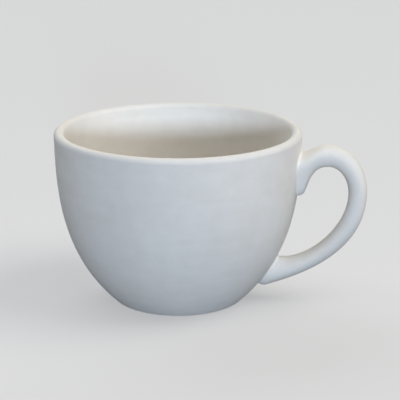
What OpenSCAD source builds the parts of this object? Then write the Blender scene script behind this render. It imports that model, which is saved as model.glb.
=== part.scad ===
// Cappuccino cup of unglazed white earthenware: a bowl and a loop handle, formed apart
// and luted together with slip at the handle's two roots.
// The bowl stands on the origin with its axis on +Z, and the handle is on +X. Millimetres and degrees.

/* [Bowl] */
// Diameter over the outside of the rim
rim_diameter = 114; // [100:1:130]
// Height from the table to the top of the lip
bowl_height = 80.4; // [74:0.2:92]
// Thickness of the wall, and of the lip that rounds it off
wall = 4.6; // [3.4:0.1:6]
// Thickness of the floor over the foot's recess
floor_thickness = 4.8; // [3.6:0.1:7]
// Lean of the wall under the lip, from upright
rim_lean = 1.5; // [0:0.5:5]
// How strongly the upright wall holds before it turns in
rim_pull = 22; // [16:0.5:30]
// Slope of the side where it comes down to the foot, from level
foot_slope = 43; // [36:0.5:52]
// How strongly the foot's slope holds up the side
foot_pull = 35; // [26:0.5:42]

/* [Foot] */
// Diameter of the flat that the cup stands on
foot_diameter = 60; // [50:1:70]
// Rounding of the foot's outer edge
foot_edge_radius = 1.5; // [0.8:0.1:3]
// Width of the ring that touches the table
foot_ring_width = 6; // [4:0.5:10]
// Depth of the recess inside that ring
foot_recess = 1.6; // [0.8:0.1:2.5]

/* [Handle] */
// How far the loop stands out past the rim
handle_reach = 30.3; // [26:0.1:36]
// Depth of the loop's outermost point below the lip
reach_drop = 27.3; // [23:0.1:32]
// Distance of the loop's highest point out from the rim
crown_out = 12.6; // [10:0.1:15]
// Depth of that highest point below the lip
crown_drop = 5.1; // [3:0.1:8]
// Thickness of the handle at the crown
crown_thickness = 10; // [8:0.1:12]
// Thickness of the handle at its outermost point
grip_thickness = 8.6; // [7:0.1:11]
// Width of the handle across, along the loop
handle_width = 11; // [9:0.1:14]

/* [Upper root] */
// Depth of the root's top edge below the lip, at the wall
upper_root_drop = 9.5; // [8:0.1:13]
// Height of the root on the wall, down to the tip of its tongue
upper_root_height = 20; // [16:0.5:24]
// Width of the root across, at half its height
upper_root_width = 16.5; // [12:0.1:20]
// Share by which the root is broader towards its top edge, and narrower towards its tongue
upper_root_shoulder = 0.3; // [0:0.05:0.5]
// Share by which the root's sides are flatter than an oval's
upper_root_flat = 0.45; // [0:0.05:0.5]
// Rise of the handle's top edge as it leaves the wall, from level
upper_root_slope = 21; // [12:1:30]
// How far the tongue stands out from the wall
tongue_stand = 3.6; // [2.5:0.1:5]
// How far the tongue's rounded corner rises above its tip
tongue_corner = 2.3; // [1.6:0.1:3.5]
// Slope of the tongue above that corner, from level
tongue_slope = 68; // [60:1:76]
// How strongly the tongue's slope holds up into the arch
tongue_pull = 6; // [4:0.5:8]
// How strongly the level crown holds back into the arch
arch_pull = 7.4; // [5:0.1:9]

/* [Lower root] */
// Height of the root's top edge above the table, at the wall
lower_root_top = 20.8; // [18:0.2:25]
// Height of the root's heel above the table, at the wall
lower_root_heel = 7.4; // [6:0.1:9]
// Width of the root across
lower_root_width = 12.4; // [10:0.1:16]
// How far the heel stands out from the wall before its corner turns in
heel_stand = 4; // [3:0.1:6]
// How far the heel's corner drops below where it meets the wall
heel_drop = 0.5; // [0.2:0.1:1.2]
// Slope of the handle's underside at the heel, from level
heel_slope = 21; // [14:1:28]
// Slope of the handle's inner side at the root's top edge, from level
lower_root_slope = 3; // [0:1:10]
// How strongly the upright grip holds down the handle's outer side
grip_outer_pull = 31.5; // [26:0.5:34]
// How strongly the upright grip holds down the handle's inner side
grip_inner_pull = 16.5; // [14:0.5:21]
// How strongly the heel's slope holds back up the outer side
heel_pull = 9.2; // [6:0.2:13]
// How strongly the root's top slope holds back up the inner side
lower_root_pull = 11; // [7:0.1:14]

/* [Slip] */
// Thickness of the slip between the handle's roots and the wall
slip_thickness = 0.5; // [0.3:0.1:1]
// Height up the handle, and width along the wall, of the slip's hollow fillet
slip_fillet = 1.2; // [1:0.1:2.2]
// Thickness of the fillet's upper edge
slip_edge = 0.08; // [0.05:0.01:0.15]

/* [Hidden] */

bisque_white = [0.93, 0.92, 0.89];
slip_white = [0.97, 0.96, 0.94];

// Straight pieces that stand for each curve
side_steps = 40;
floor_steps = 18;
lip_steps = 14;
edge_steps = 5;
fillet_steps = 5;
rail_steps = [3, 11, 16, 22, 3];
section_sides = 36;
turn_sides = 180;
// Passes of halving that find where the handle's surface stands a given distance off the wall
search_passes = 18;
// Arm of a cubic curve that follows a quarter of an ellipse, as a share of its radius
quarter_arm = 0.5523;
// Where along the side the inside leaves the wall's curve for the floor's, from the lip to the foot
floor_turn = 0.82;
// How far the floor's curve hugs the corner of wall and floor, at its two ends
floor_hug = [0.7, 0.8];
// Length of the handle's ends past the wall's outside, trimmed off where the slip lies
root_trim = 3;
// Direction in which the heel's corner turns into the wall
heel_turn = 150;
// How far the slip's skin starts inside the wall, as a share of the fillet's height, before it is trimmed
fillet_sink = 0.35;
// Share of the way from the wall to the crown, or to the grip, in which the fillet's edge is looked for
fillet_search = 0.75;

rim_radius = rim_diameter / 2;
foot_radius = foot_diameter / 2;
lip_radius = wall / 2;
floor_height = foot_recess + floor_thickness;

// Helpers on points given as [distance from the axis, height]
function heading(angle) = [cos(angle), sin(angle)];
function unit(v) = v / norm(v);
function mix(a, b, share) = a + (b - a) * share;
function ease(x) = x * x * (3 - 2 * x);
function arc(center, radius, from, to, steps) =
    [for (i = [0 : steps]) center + radius * heading(mix(from, to, i / steps))];
function curve(c, t) =
    pow(1 - t, 3) * c[0] + 3 * pow(1 - t, 2) * t * c[1] + 3 * (1 - t) * t * t * c[2] + pow(t, 3) * c[3];
function curve_heading(c, t) =
    unit(pow(1 - t, 2) * (c[1] - c[0]) + 2 * (1 - t) * t * (c[2] - c[1]) + t * t * (c[3] - c[2]));

// Outside of the bowl, one curve from under the lip down to the foot's rounded edge
lip_center = [rim_radius - lip_radius, bowl_height - lip_radius];
side_top = lip_center + lip_radius * heading(-rim_lean);
foot_edge_center = [foot_radius, foot_edge_radius];
side_foot = foot_edge_center + foot_edge_radius * heading(foot_slope - 90);
side = [side_top, side_top - rim_pull * heading(90 - rim_lean),
        side_foot + foot_pull * heading(foot_slope), side_foot];

// A point of that curve moved out along its normal
function side_point(t, grow) =
    let (h = curve_heading(side, t)) curve(side, t) + grow * [-h[1], h[0]];
function side_line(grow) = [for (i = [0 : side_steps]) side_point(i / side_steps, grow)];

// Radius of the bowl at a height, and the cosine of its lean there
side_radii = [for (p = side_line(0)) [p[1], p[0]]];
side_leans = [for (i = [0 : side_steps]) [side_radii[i][0], -curve_heading(side, i / side_steps)[1]]];
function side_radius(z) = lookup(z, side_radii);
function wall_point(z) = [side_radius(z), z];
// Distance of a point in space from the bowl's outside, below zero within it
function off_wall(p) = (norm([p[0], p[1]]) - side_radius(p[2])) * lookup(p[2], side_leans);

// Inside of the bowl, from under the lip to the middle of the floor
inside_end = side_point(floor_turn, -wall);
inside_heading = curve_heading(side, floor_turn);
floor_corner = inside_end + inside_heading * (floor_height - inside_end[1]) / inside_heading[1];
floor_middle = [0, floor_height];
floor_curve = [inside_end, mix(inside_end, floor_corner, floor_hug[0]),
               mix(floor_middle, floor_corner, floor_hug[1]), floor_middle];

ring_inside = foot_radius - foot_ring_width;
bowl_outline = concat(
    [[0, foot_recess]],
    arc([ring_inside - foot_recess, 0], foot_recess, 90, 0, edge_steps),
    arc(foot_edge_center, foot_edge_radius, -90, foot_slope - 90, edge_steps),
    [for (i = [side_steps - 1 : -1 : 0]) side_point(i / side_steps, 0)],
    [for (p = arc(lip_center, lip_radius, -rim_lean, 180 - rim_lean, lip_steps)) if (p != side_top) p],
    [for (i = [1 : floor_steps]) side_point(floor_turn * i / floor_steps, -wall)],
    [for (i = [1 : floor_steps]) curve(floor_curve, i / floor_steps)]);

// Rails of the handle: its outer and its inner edge in the plane of the loop, each of five curves.
// They run from inside the wall past the tongue, the crown and the grip to the heel and into the wall.
upper_top = bowl_height - upper_root_drop;
tongue_tip = upper_top - upper_root_height;
root_top = wall_point(upper_top);
root_out = root_top + tongue_stand * heading(upper_root_slope);
tongue_out = wall_point(tongue_tip) + [tongue_stand, tongue_corner];
crown = [rim_radius + crown_out, bowl_height - crown_drop];
arch = crown - [0, crown_thickness];
grip = [rim_radius + handle_reach, bowl_height - reach_drop];
palm = grip - [grip_thickness, 0];
heel_wall = wall_point(lower_root_heel);
heel = heel_wall + [heel_stand, -heel_drop];
step_wall = wall_point(lower_root_top);
step = step_wall + heel_stand * heading(lower_root_slope);
rise_arm = (crown[0] - root_out[0]) / 3;
tongue_arm = tongue_stand / 2;
heel_arm = heel_stand / 2;

function straight(a, b) = [a, mix(a, b, 1 / 3), mix(a, b, 2 / 3), b];
function quarter(a, b) = [a, [mix(a[0], b[0], quarter_arm), a[1]], [b[0], mix(b[1], a[1], quarter_arm)], b];

outer_rail = [
    straight(root_top - root_trim * heading(upper_root_slope), root_out),
    [root_out, root_out + rise_arm * heading(upper_root_slope), crown - [rise_arm, 0], crown],
    quarter(crown, grip),
    [grip, grip - [0, grip_outer_pull], heel + heel_pull * heading(heel_slope), heel],
    [heel, heel - heel_arm * heading(heel_slope), heel_wall, heel_wall + root_trim * heading(heel_turn)]];
inner_rail = [
    [wall_point(tongue_tip) - [root_trim, 0], wall_point(tongue_tip) + [tongue_arm, 0],
     tongue_out - tongue_arm * heading(tongue_slope), tongue_out],
    [tongue_out, tongue_out + tongue_pull * heading(tongue_slope), arch - [arch_pull, 0], arch],
    quarter(arch, palm),
    [palm, palm - [0, grip_inner_pull], step + lower_root_pull * heading(lower_root_slope), step],
    straight(step, step_wall - root_trim * heading(lower_root_slope))];

// Stations count the curves of the rails, from the end in the wall under the lip to the one at the foot
upper_end = 0;
tongue_station = 1;
crown_station = 2;
flare_station = 2.5;
grip_station = 3;
lower_end = 5;
stations = concat([0], [for (k = [0 : len(rail_steps) - 1])
    for (i = [1 : rail_steps[k]]) k + i / rail_steps[k]]);

function rail_point(rail, s) = let (k = min(floor(s), len(rail) - 1)) curve(rail[k], s - k);
// How far a station belongs to the upper root and to the lower one, from 0 on the loop to 1
function clamp(x) = min(max(x, 0), 1);
function upper_share(s) = ease(clamp((flare_station - s) / (flare_station - tongue_station)));
function lower_share(s) = ease(clamp(s - grip_station));
function half_width(s) = (handle_width + (upper_root_width - handle_width) * upper_share(s)
    + (lower_root_width - handle_width) * lower_share(s)) / 2;
// How much broader than an oval the upper root is at an angle, and how that leans its edge
function root_broad(s, a) = upper_share(s)
    * (upper_root_shoulder * cos(a) + upper_root_flat * pow(cos(a), 2));
function root_lean(s, a) = upper_share(s)
    * (upper_root_shoulder * cos(2 * a) + upper_root_flat * cos(a) * (1 - 3 * pow(sin(a), 2)));

// Section of the handle at a station: an oval that spans the two rails, fuller at the upper root
function section_middle(s) = (rail_point(outer_rail, s) + rail_point(inner_rail, s)) / 2;
function section_half(s) = (rail_point(outer_rail, s) - rail_point(inner_rail, s)) / 2;
function in_space(p, y) = [p[0], y, p[1]];
function handle_point(s, a) = in_space(section_middle(s) + section_half(s) * cos(a),
    half_width(s) * sin(a) * (1 + root_broad(s, a)));
// Direction square to the oval's edge
function handle_normal(s, a) =
    let (h = section_half(s))
    unit(in_space(h * (cos(a) + root_lean(s, a)) / (h * h), sin(a) / half_width(s)));

// Station on one line of the handle's surface that lies a given distance off the wall
function station_off_wall(a, gap, near, far, passes = search_passes) =
    let (middle = (near + far) / 2)
    passes == 0 ? middle
    : off_wall(handle_point(middle, a)) < gap ? station_off_wall(a, gap, middle, far, passes - 1)
    : station_off_wall(a, gap, near, middle, passes - 1);

// Closed skin through rings of equal count, each end closed round its middle
function ring_middle(ring) = [for (p = ring) 1] * ring / len(ring);
module skin(rings) {
    n = len(rings[0]);
    last = len(rings) - 1;
    points = concat([for (ring = rings) each ring], [ring_middle(rings[0]), ring_middle(rings[last])]);
    sides = [for (j = [0 : last - 1]) for (i = [0 : n - 1])
        let (a = j * n + i, b = j * n + (i + 1) % n) each [[a, b, b + n], [a, b + n, a + n]]];
    start_cap = [for (i = [0 : n - 1]) [(last + 1) * n, (i + 1) % n, i]];
    end_cap = [for (i = [0 : n - 1]) [(last + 1) * n + 1, last * n + i, last * n + (i + 1) % n]];
    polyhedron(points, concat(sides, start_cap, end_cap));
}

angles = [for (i = [0 : section_sides - 1]) 360 * i / section_sides];

// The handle's surface between two stations, with its ends still running into the wall
module handle_loft(from, to) {
    skin([for (s = stations) if (s >= from && s <= to) [for (a = angles) handle_point(s, a)]]);
}

// The bowl filled solid and grown, which trims what is set against its outside
module bowl_filled(grow) {
    rotate_extrude($fn = turn_sides)
        polygon(concat([[0, bowl_height]], side_line(grow), [[0, 0]]));
}

// Distances off the wall at which the fillet is drawn, as shares of its height, from inside the wall out
fillet_shares = concat([-fillet_sink], [for (i = [0 : fillet_steps]) i / fillet_steps]);
function fillet_width(share) = slip_edge + slip_fillet * pow(1 - share, 2);

// Slip squeezed out round one root, hollow in section, between the handle and the wall.
// The root runs from its end inside the wall to a station out on the loop.
module slip_joint(root_end, loop_station) {
    far = mix(root_end, loop_station, fillet_search);
    rings = [for (share = fillet_shares) [for (a = angles)
        let (s = station_off_wall(a, share * slip_fillet, root_end, far))
        handle_point(s, a) + fillet_width(share) * handle_normal(s, a)]];
    difference() {
        skin(root_end < far ? rings : [for (j = [len(rings) - 1 : -1 : 0]) rings[j]]);
        difference() {
            handle_loft(min(root_end, loop_station), max(root_end, loop_station));
            bowl_filled(slip_thickness);
        }
        bowl_filled(0);
    }
}

module cup_bowl() {
    color(bisque_white) rotate_extrude($fn = turn_sides) polygon(bowl_outline);
}

module handle() {
    color(bisque_white) difference() {
        handle_loft(upper_end, lower_end);
        bowl_filled(slip_thickness);
    }
}

module upper_slip_joint() {
    color(slip_white) slip_joint(upper_end, crown_station);
}

module lower_slip_joint() {
    color(slip_white) slip_joint(lower_end, grip_station);
}

cup_bowl();
handle();
upper_slip_joint();
lower_slip_joint();
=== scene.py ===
# %% [markdown]
# # A cappuccino cup in unglazed white clay
#
# This cup has been through the kiln once and was never glazed: potters call that bisque. It is a wide
# bowl and a loop handle, each formed by itself, and two thin rings of slip (runny clay) that stuck the
# handle's roots to the bowl before the firing. We build those four pieces as four objects.
#
# The solid model of the same cup is loaded first and is never changed. It is our frame: the sizes that
# it can tell us are read from it, so that what we make lands exactly where the solid model says.

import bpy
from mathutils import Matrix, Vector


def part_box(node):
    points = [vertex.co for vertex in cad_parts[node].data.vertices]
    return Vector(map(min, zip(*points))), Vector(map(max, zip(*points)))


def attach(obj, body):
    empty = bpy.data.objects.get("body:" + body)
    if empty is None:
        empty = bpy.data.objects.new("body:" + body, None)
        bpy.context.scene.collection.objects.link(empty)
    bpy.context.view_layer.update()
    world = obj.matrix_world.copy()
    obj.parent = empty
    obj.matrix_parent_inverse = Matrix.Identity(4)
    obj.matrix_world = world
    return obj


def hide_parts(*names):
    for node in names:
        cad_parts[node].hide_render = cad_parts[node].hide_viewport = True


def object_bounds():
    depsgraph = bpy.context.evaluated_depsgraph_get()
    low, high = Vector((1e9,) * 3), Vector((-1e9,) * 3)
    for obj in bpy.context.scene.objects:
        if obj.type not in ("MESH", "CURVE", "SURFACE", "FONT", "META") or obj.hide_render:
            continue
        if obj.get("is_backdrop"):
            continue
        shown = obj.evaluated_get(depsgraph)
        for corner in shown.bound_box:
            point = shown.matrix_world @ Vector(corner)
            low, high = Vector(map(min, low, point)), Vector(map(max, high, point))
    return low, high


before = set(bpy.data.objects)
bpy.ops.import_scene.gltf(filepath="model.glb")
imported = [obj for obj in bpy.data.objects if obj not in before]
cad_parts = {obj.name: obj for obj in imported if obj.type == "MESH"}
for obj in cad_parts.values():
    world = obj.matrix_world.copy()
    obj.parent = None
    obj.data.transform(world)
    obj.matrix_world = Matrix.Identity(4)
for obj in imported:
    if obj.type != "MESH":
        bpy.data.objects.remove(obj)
cad_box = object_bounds()

for name in sorted(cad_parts):
    low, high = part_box(name)
    print(name, "spans", [round(1000 * size, 2) for size in high - low], "mm")

# %% [markdown]
# ## Where we look from
#
# A cup is a simple shape, so a picture of it is decided by how high the eye is and how far away. From
# 60 cm a long lens keeps the bowl's sides calm, and an eye 14 cm above the rim opens the rim to a narrow
# oval that shows the lip's thickness and the back of the inside. We could place the camera by dragging it
# about. Giving it a spot and a point to aim at is easier to repeat.

# %% Camera
import bpy
from mathutils import Vector

MM = 0.001
camera_spot = Vector((107.7, -576.3, 220.8)) * MM
camera_aim = Vector((9.9, 1.7, 45.87)) * MM
lens_length = 117.94


def aim(thing, spot, target):
    """Puts a camera or a lamp on a spot and points it at a target."""
    thing.location = spot
    thing.rotation_euler = (target - spot).to_track_quat("-Z", "Y").to_euler()
    bpy.context.scene.collection.objects.link(thing)


camera = bpy.data.objects.new("camera", bpy.data.cameras.new("camera"))
camera.data.lens = lens_length
aim(camera, camera_spot, camera_aim)
bpy.context.scene.camera = camera
bpy.context.scene.view_settings.view_transform = "Standard"
print("the camera stands", round((camera_aim - camera_spot).length, 3), "m away")

# %% [markdown]
# ## Curves with few points
#
# Clay that is thrown or cast has long, quiet curves. A cubic curve draws one from four corners: where it
# starts, the way it leaves, the way it arrives and where it ends. Four corners can be read and changed by
# hand, which a row of a hundred points can't. The bowl and the handle both use them, as pairs of distance
# from the cup's axis and height.

# %% Curve helpers
import math

import numpy as np


def heading(degrees):
    """Step of length one at an angle from level."""
    angle = math.radians(degrees)
    return np.array([math.cos(angle), math.sin(angle)])


def cubic(corners, share):
    """Points of a cubic curve, at shares of the way along it."""
    a, b, c, d = corners
    t = np.asarray(share, float)[..., None]
    return (1 - t) ** 3 * a + 3 * (1 - t) ** 2 * t * b + 3 * (1 - t) * t**2 * c + t**3 * d


def cubic_heading(corners, share):
    """Direction of a cubic curve at shares of the way along it."""
    a, b, c, d = corners
    t = np.asarray(share, float)[..., None]
    along = (1 - t) ** 2 * (b - a) + 2 * (1 - t) * t * (c - b) + t**2 * (d - c)
    return along / np.linalg.norm(along, axis=-1, keepdims=True)


def arc(middle, radius, start, end, steps):
    """Points of a round stretch between two angles."""
    return np.array([middle + radius * heading(angle) for angle in np.linspace(start, end, steps + 1)])


print("a quarter turn ends at", arc(np.zeros(2), 1, 0, 90, 4)[-1].round(3))

# %% [markdown]
# ## The outline of the bowl
#
# The bowl is turned, so half of its cut-through outline says everything. The wall stands nearly upright
# under the lip, then turns in without a corner to a small foot: one cubic curve holds all of that. The lip
# is the wall's thickness rounded over. The inside is the same curve moved in by the wall, until it leaves
# it for a dished floor.

# %% Outside of the bowl
bowl_low, bowl_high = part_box("cup_bowl")
rim_radius = -bowl_low.x
bowl_height = bowl_high.z
wall = 4.6 * MM
lip_radius = wall / 2
rim_lean = 1.5
rim_pull = 22 * MM
foot_radius = 30 * MM
foot_edge_radius = 1.5 * MM
foot_slope = 43
foot_pull = 35 * MM

lip_middle = np.array([rim_radius - lip_radius, bowl_height - lip_radius])
side_top = lip_middle + lip_radius * heading(-rim_lean)
foot_edge_middle = np.array([foot_radius, foot_edge_radius])
side_foot = foot_edge_middle + foot_edge_radius * heading(foot_slope - 90)
side = [
    side_top,
    side_top - rim_pull * heading(90 - rim_lean),
    side_foot + foot_pull * heading(foot_slope),
    side_foot,
]


def side_point(share, out=0.0):
    """Point of the bowl's outside, from the lip to the foot, moved out square to the wall."""
    along = cubic_heading(side, share)
    square = np.stack([-along[..., 1], along[..., 0]], axis=-1)
    return cubic(side, share) + out * square


print("half-way down, the bowl is", (2000 * side_point(0.5)[0]).round(1), "mm across")

# %% Inside of the bowl and its floor
floor_thickness = 4.8 * MM
foot_recess = 1.6 * MM
floor_turn = 0.82
hug_wall, hug_floor = 0.7, 0.8

floor_height = foot_recess + floor_thickness
inside_end = side_point(floor_turn, -wall)
inside_heading = cubic_heading(side, floor_turn)
floor_corner = inside_end + inside_heading * (floor_height - inside_end[1]) / inside_heading[1]
floor_middle = np.array([0, floor_height])
floor_curve = [
    inside_end,
    inside_end + hug_wall * (floor_corner - inside_end),
    floor_middle + hug_floor * (floor_corner - floor_middle),
    floor_middle,
]
print("the cup is", round(1000 * (bowl_height - floor_height), 1), "mm deep inside")

# %% [markdown]
# ## The foot
#
# Underneath, a cup stands on a ring: the middle is cut away a little so that it can't rock. The tool that
# cuts it leaves faint rings, and a wet sponge takes the sharpness off the ring's edges. None of this shows
# from above, but the mesh is seen from every side, so it goes into the outline and not into a texture.

# %% Underside of the foot
foot_ring_width = 6 * MM
sponged_edge = 0.5 * MM
tool_ring_pitch = 3.1 * MM
tool_ring_depth = 0.05 * MM
hub_radius = 0.6 * MM
underside_steps = 44

ring_inside = foot_radius - foot_ring_width
recess_reach = np.linspace(hub_radius, ring_inside - foot_recess, underside_steps)
tool_rings = tool_ring_depth * np.cos(2 * np.pi * recess_reach / tool_ring_pitch)
recess_floor = np.stack([recess_reach, foot_recess - tool_ring_depth + tool_rings], axis=1)
recess_edge_angle = math.degrees(math.asin(sponged_edge / foot_recess))
recess_edge = arc(np.array([ring_inside - foot_recess, 0]), foot_recess, 85, recess_edge_angle, 9)
ring_edge = arc(np.array([ring_inside + sponged_edge, sponged_edge]), sponged_edge, 190, 270, 5)
foot_edge = arc(foot_edge_middle, foot_edge_radius, -90, foot_slope - 90, 9)
ring_span = [round(2000 * radius, 1) for radius in (ring_inside, foot_radius)]
print("the cup stands on a ring", ring_span[0], "to", ring_span[1], "mm across")

# %% [markdown]
# ## Spinning the outline into the bowl
#
# Blender's Screw modifier could spin the outline for us, and would give a bowl more perfect than any potter
# makes. We spin it ourselves, so that the rim can dip and leave the round by a tenth of a millimetre as it
# goes round. All four pieces are rings of points joined to the next ring, so one helper skins them all.

# %% Helper that skins rings of points
import bmesh


def skin(name, rings, closed_loop=False):
    """Smooth object through equal rings of points. Open ends are closed round their middles."""
    rings = np.asarray(rings, float)
    count, sides = rings.shape[:2]
    points = list(rings.reshape(-1, 3))
    faces = []
    for ring in range(count if closed_loop else count - 1):
        here, there = ring * sides, (ring + 1) % count * sides
        for i in range(sides):
            j = (i + 1) % sides
            faces.append((here + i, here + j, there + j, there + i))
    for ring in [] if closed_loop else (0, count - 1):
        points.append(rings[ring].mean(axis=0))
        faces += [(ring * sides + i, ring * sides + (i + 1) % sides, len(points) - 1) for i in range(sides)]
    mesh = bpy.data.meshes.new(name)
    mesh.from_pydata(points, [], faces)
    shell = bmesh.new()
    shell.from_mesh(mesh)
    bmesh.ops.recalc_face_normals(shell, faces=shell.faces)
    shell.to_mesh(mesh)
    shell.free()
    mesh.shade_smooth()
    thing = bpy.data.objects.new(name, mesh)
    bpy.context.scene.collection.objects.link(thing)
    print(name, "has", len(mesh.vertices), "points and", len(mesh.polygons), "faces")
    return thing


def uneven(turn, start):
    """Slow wander round a full turn, between -1 and 0, so that it only takes clay away."""
    strengths = {2: 0.5, 3: 0.3, 5: 0.15, 9: 0.05}
    wander = sum(strength * np.cos(waves * turn + start * waves) for waves, strength in strengths.items())
    return (wander - 1) / 2


# %% Spin the bowl
side_steps, lip_steps, inside_steps, floor_steps = 90, 26, 72, 44
bowl_facets = 168
out_of_round = 0.12 * MM
lip_dip = 0.14 * MM
wander_height = 0.5 * bowl_height

outline = np.concatenate([
    recess_floor,
    recess_edge,
    ring_edge,
    foot_edge,
    side_point(np.linspace(1, 0, side_steps + 1)[1:-1]),
    arc(lip_middle, lip_radius, -rim_lean, 180 - rim_lean, lip_steps),
    side_point(floor_turn * np.linspace(0, 1, inside_steps + 1)[1:], -wall),
    cubic(floor_curve, np.linspace(0, 1, floor_steps + 1)[1:-1]),
])
turns = np.linspace(0, 2 * np.pi, bowl_facets, endpoint=False)


def spun_ring(reach, height):
    """One ring of the bowl, wandering more the nearer it is to the rim."""
    loose = np.clip((height - wander_height) / (bowl_height - wander_height), 0, 1) ** 2
    reaches = reach + loose * out_of_round * uneven(turns, 0.4)
    heights = height + loose * lip_dip * uneven(turns, 2.1)
    return np.stack([reaches * np.cos(turns), reaches * np.sin(turns), heights], axis=1)


cup_bowl = skin("bowl", [spun_ring(reach, height) for reach, height in outline])

# %% [markdown]
# ## The handle
#
# Seen from the side, the handle is two lines: an outer edge and an inner edge. Both start inside the wall
# under the lip. The inner one hangs down the wall as a short rounded tongue, and both then go over the
# crown, down the grip, and sweep back to a heel near the foot. We draw each edge as five cubic curves and
# set an oval between them at many stations, as a boat builder sets frames between rails. A curve with a
# round bevel would be quicker, but it has one thickness, and this handle is thick at its roots and slim at
# the grip.

# %% Key points of the handle
handle_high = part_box("handle")[1]
crown_out = 12.6 * MM
crown_thickness = 10 * MM
reach_drop = 27.3 * MM
grip_thickness = 8.6 * MM
upper_root_drop = 9.5 * MM
upper_root_height = 20 * MM
upper_root_slope = 21
tongue_stand = 3.6 * MM
tongue_corner = 2.3 * MM
lower_root_top = 20.8 * MM
lower_root_heel = 7.4 * MM
lower_root_slope = 3
heel_stand = 4 * MM
heel_drop = 0.5 * MM
wall_samples = 600

side_shares = np.linspace(0, 1, wall_samples)
side_line = side_point(side_shares)
side_square = side_point(side_shares, 1) - side_line


def wall_at(height, measure):
    """A measure taken along the bowl's side, looked up at a height."""
    return np.interp(height, side_line[::-1, 1], measure[::-1])


def on_wall(height):
    """Point of the bowl's outside at a height."""
    return np.array([wall_at(height, side_line[:, 0]), height])


upper_root_top = bowl_height - upper_root_drop
root_top = on_wall(upper_root_top)
root_out = root_top + tongue_stand * heading(upper_root_slope)
tongue_tip = on_wall(upper_root_top - upper_root_height)
tongue_out = tongue_tip + np.array([tongue_stand, tongue_corner])
crown = np.array([rim_radius + crown_out, handle_high.z])
arch = crown - np.array([0, crown_thickness])
grip = np.array([handle_high.x, bowl_height - reach_drop])
palm = grip - np.array([grip_thickness, 0])
heel_wall = on_wall(lower_root_heel)
heel = heel_wall + np.array([heel_stand, -heel_drop])
step_wall = on_wall(lower_root_top)
step = step_wall + heel_stand * heading(lower_root_slope)
print("the finger gap is", (1000 * (palm[0] - on_wall(palm[1])[0])).round(1), "mm wide at the grip")

# %% Rails of the handle
root_bury = 3 * MM
tongue_slope = 68
tongue_pull = 6 * MM
arch_pull = 7.4 * MM
heel_slope = 21
heel_turn = 150
grip_outer_pull, heel_pull = 31.5 * MM, 9.2 * MM
grip_inner_pull, lower_root_pull = 16.5 * MM, 11 * MM
quarter_arm = 0.5523

OUT, UP = np.array([1.0, 0]), np.array([0, 1.0])
rise_arm = (crown[0] - root_out[0]) / 3
tongue_arm = tongue_stand / 2
heel_arm = heel_stand / 2


def straight(a, b):
    """A cubic curve that is a straight line."""
    return [a, a + (b - a) / 3, b - (b - a) / 3, b]


def quarter(a, b):
    """A quarter of an oval that leaves a level and arrives at b upright."""
    return [a, a + quarter_arm * (b - a) * OUT, b + quarter_arm * (a - b) * UP, b]


outer_rail = [
    straight(root_top - root_bury * heading(upper_root_slope), root_out),
    [root_out, root_out + rise_arm * heading(upper_root_slope), crown - rise_arm * OUT, crown],
    quarter(crown, grip),
    [grip, grip - grip_outer_pull * UP, heel + heel_pull * heading(heel_slope), heel],
    [heel, heel - heel_arm * heading(heel_slope), heel_wall, heel_wall + root_bury * heading(heel_turn)],
]
inner_rail = [
    [tongue_tip - root_bury * OUT, tongue_tip + tongue_arm * OUT,
     tongue_out - tongue_arm * heading(tongue_slope), tongue_out],
    [tongue_out, tongue_out + tongue_pull * heading(tongue_slope), arch - arch_pull * OUT, arch],
    quarter(arch, palm),
    [palm, palm - grip_inner_pull * UP, step + lower_root_pull * heading(lower_root_slope), step],
    straight(step, step_wall - root_bury * heading(lower_root_slope)),
]
TONGUE, CROWN, FLARE, GRIP, LAST = 1, 2, 2.5, 3, 5
print("each rail has", len(outer_rail), "curves")

# %% [markdown]
# Between the rails goes an oval, a little wider than it is thick. It spreads at the roots, most at the upper
# one, which is broad under the lip and narrows to its tongue. So from beyond the crown the oval becomes an
# egg with flatter sides: a share of the cosine that draws it broadens the outer edge, and a share of the
# cosine's square fills out both edges.
#
# A handle is cast in a mould of two halves that part in the plane of the loop. The maker scrapes the seam
# off, which leaves a narrow flat along the outer and inner edge. It is a few hundredths of a millimetre
# deep, but light that grazes the handle finds it.

# %% Surface of the handle
handle_width = 11 * MM
upper_root_width = 16.5 * MM
lower_root_width = 12.4 * MM
upper_root_shoulder = 0.3
upper_root_flat = 0.45
seam_flat = 0.07 * MM
seam_spread = 0.2
handle_wander = 0.06 * MM


def ease(x):
    """Turns an even step from 0 to 1 into one that starts and ends gently."""
    return x * x * (3 - 2 * x)


def rail_point(rail, stations):
    """Points of a rail. A station counts the curves passed, with the share of the one it is on."""
    piece = np.minimum(np.floor(stations).astype(int), LAST - 1)
    return np.array([cubic(rail[k], s - k) for k, s in zip(piece, stations)])


def upper_share(stations):
    """How far stations belong to the upper root, from 0 on the loop to 1."""
    return ease(np.clip((FLARE - stations) / (FLARE - TONGUE), 0, 1))


def half_width(stations):
    """Half of the oval's width across the loop."""
    lower_share = ease(np.clip(stations - GRIP, 0, 1))
    upper_extra = (upper_root_width - handle_width) * upper_share(stations)
    lower_extra = (lower_root_width - handle_width) * lower_share
    return (handle_width + upper_extra + lower_extra) / 2


def handle_point(stations, angles):
    """Points on the handle. Angle 0 is its outer edge, and half a turn its inner edge."""
    outer, inner = rail_point(outer_rail, stations), rail_point(inner_rail, stations)
    middle, half = (outer + inner) / 2, (outer - inner) / 2
    flat = seam_flat * np.exp(-((np.sin(angles) / seam_spread) ** 2))
    slack = handle_wander * uneven(stations, 0.7) - flat
    thick = 1 + slack / np.linalg.norm(half, axis=1)
    plane = middle + half * (thick * np.cos(angles))[:, None]
    broad = upper_root_shoulder * np.cos(angles) + upper_root_flat * np.cos(angles) ** 2
    across = half_width(stations) * np.sin(angles) * (1 + upper_share(stations) * broad)
    return np.stack([plane[:, 0], across, plane[:, 1]], axis=1)


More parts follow.
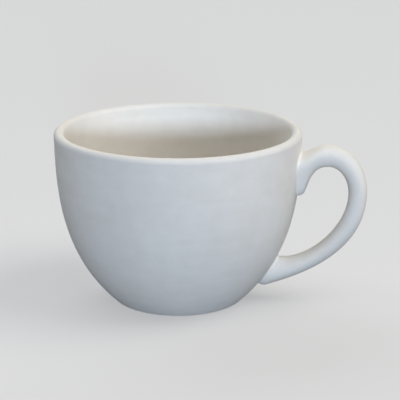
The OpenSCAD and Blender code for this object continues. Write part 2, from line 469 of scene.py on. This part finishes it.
def handle_square(stations, angles):
    """Directions square to the handle's surface, from the oval that it has there."""
    half = (rail_point(outer_rail, stations) - rail_point(inner_rail, stations)) / 2
    flat_lean = upper_root_flat * np.cos(angles) * (1 - 3 * np.sin(angles) ** 2)
    root_lean = upper_root_shoulder * np.cos(2 * angles) + flat_lean
    lean = np.cos(angles) + upper_share(stations) * root_lean
    plane = half * (lean / (half**2).sum(axis=1))[:, None]
    square = np.stack([plane[:, 0], np.sin(angles) / half_width(stations), plane[:, 1]], axis=1)
    return square / np.linalg.norm(square, axis=1, keepdims=True)


# %% Loft the handle
stations_per_curve = (10, 24, 40, 52, 10)
handle_sides = 56

stations = np.concatenate([
    k + np.arange(steps) / steps for k, steps in enumerate(stations_per_curve)
] + [[LAST]])
section_angles = np.linspace(0, 2 * np.pi, handle_sides, endpoint=False)
handle = skin("loop_handle", [handle_point(np.full(handle_sides, s), section_angles) for s in stations])

# %% [markdown]
# ## The slip at the roots
#
# To fix the handle the maker paints slip on its ends, presses it to the wall so that slip squeezes out all
# round, and wipes that into a small hollow fillet with a wet brush. A bevel modifier can't reach a line
# where two separate pieces cross. So we find that line: on each lengthwise line of the handle, we halve the
# stretch between a point inside the wall and one outside until we stand on the wall. From there the fillet
# runs up the handle on one side and along the wall on the other, in a curve that is flush with both. The
# brush wipes it thin under the tongue, where it would hang as a drop, and leaves it full in the lower corner
# of the finger gap, which is hard to reach.

# %% Find where the handle meets the wall
def off_wall(points):
    """How far points stand off the bowl's outside. Points within it come out below zero."""
    reach = np.hypot(points[:, 0], points[:, 1])
    lean = wall_at(points[:, 2], side_square[:, 0])
    return (reach - wall_at(points[:, 2], side_line[:, 0])) * lean


def wall_square(points):
    """Directions square to the bowl's outside."""
    reach = np.hypot(points[:, 0], points[:, 1])[:, None]
    level = points[:, :2] / reach * wall_at(points[:, 2], side_square[:, 0])[:, None]
    return np.column_stack([level, wall_at(points[:, 2], side_square[:, 1])])


def drop_on_wall(points):
    """Moves points level, to and from the axis, on to the bowl's outside."""
    reach = np.hypot(points[:, 0], points[:, 1])
    scale = wall_at(points[:, 2], side_line[:, 0]) / reach
    return points * np.stack([scale, scale, np.ones_like(scale)], axis=1)


def station_off_wall(angles, gap, root_end, loop_station, passes=30):
    """Stations where the handle's lines stand a given gap off the wall."""
    near = np.full(len(angles), float(root_end))
    far = np.full(len(angles), float(loop_station))
    for _ in range(passes):
        middle = (near + far) / 2
        within = off_wall(handle_point(middle, angles)) < gap
        near = np.where(within, middle, near)
        far = np.where(within, far, middle)
    return (near + far) / 2


outer_edge = np.zeros(1)
meeting = handle_point(station_off_wall(outer_edge, 0, 0, CROWN), outer_edge)[0]
print("the handle's top edge leaves the wall at", (1000 * meeting).round(1), "mm")

# %% Draw the fillets
slip_height = 1.25 * MM
slip_spread = 1.1 * MM
slip_lumps = 0.3
slip_sink = 0.03 * MM
slip_bury = 0.7 * MM
slip_under_tongue, slip_in_gap = 0.4, 1.7
inner_edge_focus = 4
slip_sides = 96
fillet_steps = 8


def slip_fillet(name, root_end, loop_station, start, inner_share):
    """Ring of slip round one root, which has a share of its full size at the handle's inner edge."""
    angles = np.linspace(0, 2 * np.pi, slip_sides, endpoint=False)
    innermost = ((1 - np.cos(angles)) / 2) ** inner_edge_focus
    fullness = 1 + (inner_share - 1) * innermost
    heights = slip_height * fullness * (1 + slip_lumps * uneven(angles, start))
    spreads = slip_spread * fullness * (1 + slip_lumps * uneven(angles, start + 1.3))
    at_wall = station_off_wall(angles, 0, root_end, loop_station)
    at_top = station_off_wall(angles, heights, root_end, loop_station)
    corner = handle_point(at_wall, angles)
    top = handle_point(at_top, angles)
    handle_out = handle_square(at_wall, angles)
    wall_out = wall_square(corner)
    away = handle_out - (handle_out * wall_out).sum(axis=1, keepdims=True) * wall_out
    away /= np.linalg.norm(away, axis=1, keepdims=True)
    foot = drop_on_wall(corner + spreads[:, None] * away)
    buried = corner - slip_bury * (handle_out + wall_out)
    shares = np.linspace(0, 1, fillet_steps + 1)
    hollow = [(1 - u) ** 2 * top + 2 * u * (1 - u) * corner + u**2 * foot for u in shares]
    hollow[0] = top - slip_sink * handle_square(at_top, angles)
    hollow[-1] = foot - slip_sink * wall_square(foot)
    return skin(name, np.stack(hollow + [buried], axis=1), closed_loop=True)


upper_slip = slip_fillet("upper_slip", 0, CROWN, 0.3, slip_under_tongue)
lower_slip = slip_fillet("lower_slip", LAST, GRIP, 1.9, slip_in_gap)

# %% [markdown]
# ## Bisque
#
# Bisque is dry, open clay. It has almost no gloss and scatters light so evenly that its shading looks flat.
# Close up it isn't one colour: the firing leaves soft warm and pale patches, the sponge leaves strokes that
# run round the cup, the clay has a fine tooth, and here and there is a pinhole. A photograph wrapped round
# the cup could show that. Noise textures in the cup's own coordinates need no unwrapping and have no seam.

# %% Helper for shader nodes
def add_node(tree, kind, sockets=None, **settings):
    """One shader node. A socket takes a number, a colour or another node's output."""
    made = tree.nodes.new(kind)
    for setting, value in settings.items():
        setattr(made, setting, value)
    for socket, value in (sockets or {}).items():
        if isinstance(value, bpy.types.NodeSocket):
            tree.links.new(value, made.inputs[socket])
        else:
            made.inputs[socket].default_value = value
    return made


def cloudiness(tree, where, size, detail=2.0):
    """Soft noise whose patches are about as wide as the size given, in metres."""
    sockets = {"Vector": where, "Scale": 1 / size, "Detail": detail, "Roughness": 0.55}
    return add_node(tree, "ShaderNodeTexNoise", sockets).outputs["Fac"]


def weigh(tree, *parts):
    """Sum of values, each times a weight."""
    total = None
    for value, weight in parts:
        sockets = {0: value, 1: weight, 2: 0.0 if total is None else total}
        total = add_node(tree, "ShaderNodeMath", sockets, operation="MULTIPLY_ADD").outputs[0]
    return total


print("helpers ready")

# %% Helper for pinholes
pinhole_spacing = 4.2 * MM
pinhole_core, pinhole_edge = 0.02, 0.05


def pinholes_in(tree, place, share):
    """One inside a pinhole and zero elsewhere. The share says how many of the scattered spots have one."""
    cells = add_node(tree, "ShaderNodeTexVoronoi", {"Vector": place, "Scale": 1 / pinhole_spacing}).outputs
    pit = add_node(tree, "ShaderNodeMapRange", {
        "Value": cells["Distance"],
        "From Min": pinhole_core, "From Max": pinhole_edge, "To Min": 1, "To Max": 0,
    }).outputs["Result"]
    chosen = add_node(tree, "ShaderNodeMath", {0: cells["Color"], 1: 1 - share}, operation="GREATER_THAN")
    return add_node(tree, "ShaderNodeMath", {0: pit, 1: chosen.outputs[0]}, operation="MULTIPLY").outputs[0]


print("a pinhole is about", round(2000 * pinhole_edge * pinhole_spacing, 2), "mm wide")

# %% Bisque and slip
patch_size, mottle_size, stroke_size, tooth_size = 26 * MM, 7 * MM, 4 * MM, 0.45 * MM
shade_tone, pale_tone = 0.45, 0.68
roughness_low, roughness_high = 0.80, 0.92
relief_depth = 0.11 * MM
dry_sheen = 0.06


def clay(name, pale, shade, stroke, pinholes):
    """Matte fired clay. The stroke squeezes the sponge's marks along X, Y and Z."""
    material = bpy.data.materials.new(name)
    material.use_nodes = True
    tree = material.node_tree
    place = add_node(tree, "ShaderNodeTexCoord").outputs["Object"]
    stroked = add_node(tree, "ShaderNodeMapping", {"Vector": place, "Scale": stroke}).outputs["Vector"]

    patches = cloudiness(tree, place, patch_size)
    mottle = cloudiness(tree, place, mottle_size, detail=4)
    strokes = cloudiness(tree, stroked, stroke_size, detail=3)
    tooth = cloudiness(tree, place, tooth_size)
    hole = pinholes_in(tree, place, pinholes)

    # Pinholes also darken the colour a little: that is painted shade in the pits, whose dent is otherwise
    # only bump.
    tone = weigh(tree, (patches, 0.4), (mottle, 0.34), (strokes, 0.26), (tooth, 0.12), (hole, -0.4))
    ramp = add_node(tree, "ShaderNodeValToRGB", {"Fac": tone})
    for stop, position, colour in zip(ramp.color_ramp.elements, (shade_tone, pale_tone), (shade, pale)):
        stop.position = position
        stop.color = (*colour, 1)
    rough = add_node(tree, "ShaderNodeMapRange", {
        "Value": mottle, "From Min": 0.3, "From Max": 0.7,
        "To Min": roughness_low, "To Max": roughness_high,
    }).outputs["Result"]
    relief = weigh(tree, (mottle, 1.0), (strokes, 0.8), (tooth, 0.16), (hole, -1.2))
    bump = add_node(tree, "ShaderNodeBump", {"Height": relief, "Distance": relief_depth, "Strength": 1.0})

    surface = tree.nodes["Principled BSDF"]
    surface.inputs["Specular IOR Level"].default_value = dry_sheen
    tree.links.new(ramp.outputs["Color"], surface.inputs["Base Color"])
    tree.links.new(rough, surface.inputs["Roughness"])
    tree.links.new(bump.outputs["Normal"], surface.inputs["Normal"])
    return material


bisque_pale, bisque_shade = (0.81, 0.785, 0.735), (0.76, 0.73, 0.675)
slip_pale, slip_shade = (0.82, 0.8, 0.755), (0.78, 0.755, 0.71)
round_the_cup = (0.15, 0.15, 1)
every_way = (0.5, 0.5, 0.5)
bowl_bisque = clay("bisque_turned", bisque_pale, bisque_shade, round_the_cup, pinholes=0.2)
handle_bisque = clay("bisque_cast", bisque_pale, bisque_shade, every_way, pinholes=0.12)
fired_slip = clay("fired_slip", slip_pale, slip_shade, every_way, pinholes=0.0)
print("three clays mixed")

# %% [markdown]
# ## Putting the pieces on the frame
#
# Nothing on a cup moves, so every piece rides on the one body. Each piece takes the place of the solid that
# it was modelled on.

# %% Dress the pieces
dressing = [
    (cup_bowl, "cup_bowl", "bisque", bowl_bisque),
    (handle, "handle", "bisque", handle_bisque),
    (upper_slip, "upper_slip_joint", "slip", fired_slip),
    (lower_slip, "lower_slip_joint", "slip", fired_slip),
]
for piece, node_name, slot_name, finish in dressing:
    piece.data.materials.append(finish)
    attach(piece, "root")
    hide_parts(node_name)
    print(piece.name, "stands for", node_name)

# %% [markdown]
# ## A pale floor
#
# The floor is a wide disc. It is pale to the eye, and a glow of its own keeps it evenly pale all the way
# back. But we don't want it to throw light up under the bowl, where the shade gives the cup its round belly.
# The Light Path node tells a ray that comes from the camera or from a reflection from one that carries
# bounced light, so the floor can be pale to one and dark to the other. It still takes the cup's shadow.

# %% Floor
floor_radius = 6.0
floor_gap = 0.1 * MM
floor_pale = (0.38, 0.38, 0.38, 1)
floor_glow = (0.37, 0.37, 0.37, 1)
floor_dark = (0.13, 0.13, 0.13, 1)


def seen_directly(tree):
    """One for rays from the eye or from a reflection, and zero for light on its way round the room."""
    path = add_node(tree, "ShaderNodeLightPath").outputs
    shiny = add_node(tree, "ShaderNodeMath", {0: path["Is Glossy Ray"], 1: path["Is Transmission Ray"]},
                     operation="MAXIMUM")
    return add_node(tree, "ShaderNodeMath", {0: path["Is Camera Ray"], 1: shiny.outputs[0]},
                    operation="MAXIMUM").outputs[0]


disc = bmesh.new()
bmesh.ops.create_circle(disc, cap_ends=True, segments=96, radius=floor_radius)
floor_mesh = bpy.data.meshes.new("floor")
disc.to_mesh(floor_mesh)
disc.free()
floor = bpy.data.objects.new("floor", floor_mesh)
floor.location.z = -floor_gap
bpy.context.scene.collection.objects.link(floor)

floor_paint = bpy.data.materials.new("floor_paint")
floor_paint.use_nodes = True
tree = floor_paint.node_tree
tree.nodes.remove(tree.nodes["Principled BSDF"])
pale_face = add_node(tree, "ShaderNodeBsdfDiffuse", {"Color": floor_pale})
glow = add_node(tree, "ShaderNodeEmission", {"Color": floor_glow})
lit_face = add_node(tree, "ShaderNodeAddShader", {0: pale_face.outputs[0], 1: glow.outputs[0]})
dark_face = add_node(tree, "ShaderNodeBsdfDiffuse", {"Color": floor_dark})
face = add_node(tree, "ShaderNodeMixShader", {
    0: seen_directly(tree), 1: dark_face.outputs[0], 2: lit_face.outputs[0],
})
tree.links.new(face.outputs[0], tree.nodes["Material Output"].inputs["Surface"])
floor_mesh.materials.append(floor_paint)
floor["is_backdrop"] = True
print("floor laid")

# %% [markdown]
# ## Light
#
# Four soft lamps shape the cup. The key stands high on the right and draws the lip, the top of the handle
# and the left of the inside. A soft box over the front right carries its light round to the front. A low,
# cool lamp, like a window, fills the front, and another does that for the back, so that no side is left in
# the dark. Sun lamps light the floor evenly as far as it goes, and the wider their disc is, the softer the
# shadow. The strengths are set so that the clay comes out about as pale as it was mixed: if the lip turned
# plain white, its roundness would be lost.

# %% World
room_seen = (0.7, 0.7, 0.7, 1)
room_light = (0.16, 0.165, 0.175, 1)

world = bpy.data.worlds.new("room")
bpy.context.scene.world = world
world.use_nodes = True
tree = world.node_tree
seen_wall = add_node(tree, "ShaderNodeBackground", {"Color": room_seen})
dim_wall = add_node(tree, "ShaderNodeBackground", {"Color": room_light})
wall_mix = add_node(tree, "ShaderNodeMixShader", {
    0: seen_directly(tree), 1: dim_wall.outputs[0], 2: seen_wall.outputs[0],
})
tree.links.new(wall_mix.outputs[0], tree.nodes["World Output"].inputs["Surface"])
print("room painted")

# %% Lamps
far_away = 2.0
cup_middle = Vector((0, 0, bowl_height / 2))


def lamp_at(name, kind, around, above, distance, strength, colour):
    """A lamp aimed at the cup. Around turns from the front towards the handle, and above is its height."""
    lamp = bpy.data.lights.new(name, kind)
    lamp.energy = strength
    lamp.color = colour
    a, e = math.radians(around), math.radians(above)
    away = Vector((math.sin(a) * math.cos(e), -math.cos(a) * math.cos(e), math.sin(e)))
    stand = bpy.data.objects.new(name, lamp)
    aim(stand, cup_middle + distance * away, cup_middle)
    stand.visible_camera = False
    print(name, "shines from", around, "degrees round and", above, "up")
    return lamp


def soft_box(name, around, above, distance, side, watts, colour):
    """A square lamp near the cup."""
    lamp_at(name, "AREA", around, above, distance, watts, colour).size = side


def soft_sun(name, around, above, spread, strength, colour):
    """A far lamp whose disc spreads over so many degrees."""
    lamp_at(name, "SUN", around, above, far_away, strength, colour).angle = math.radians(spread)


soft_sun("key", around=95, above=50, spread=40, strength=1.4, colour=(1.0, 0.948, 0.869))
soft_box("top_fill", around=40, above=65, distance=0.75, side=0.5, watts=0.75, colour=(1.0, 0.925, 0.843))
soft_sun("front_fill", around=15, above=7, spread=7, strength=2.15, colour=(0.69, 0.815, 1.0))
soft_sun("back_fill", around=214, above=16, spread=90, strength=2.6, colour=(0.9, 0.95, 1.0))

# %% [markdown]
# ## Measure and finish
#
# The last job is to print the box of what we made beside the box of the solid model. They should agree to
# within the tenth of a millimetre that the hand-made wander takes away.

visual_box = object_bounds()
boxes = {
    "cad": [list(corner) for corner in cad_box],
    "visual": [list(corner) for corner in visual_box],
}
for label, (low, high) in boxes.items():
    print(label, "box is", [round(1000 * (b - a), 2) for a, b in zip(low, high)], "mm")
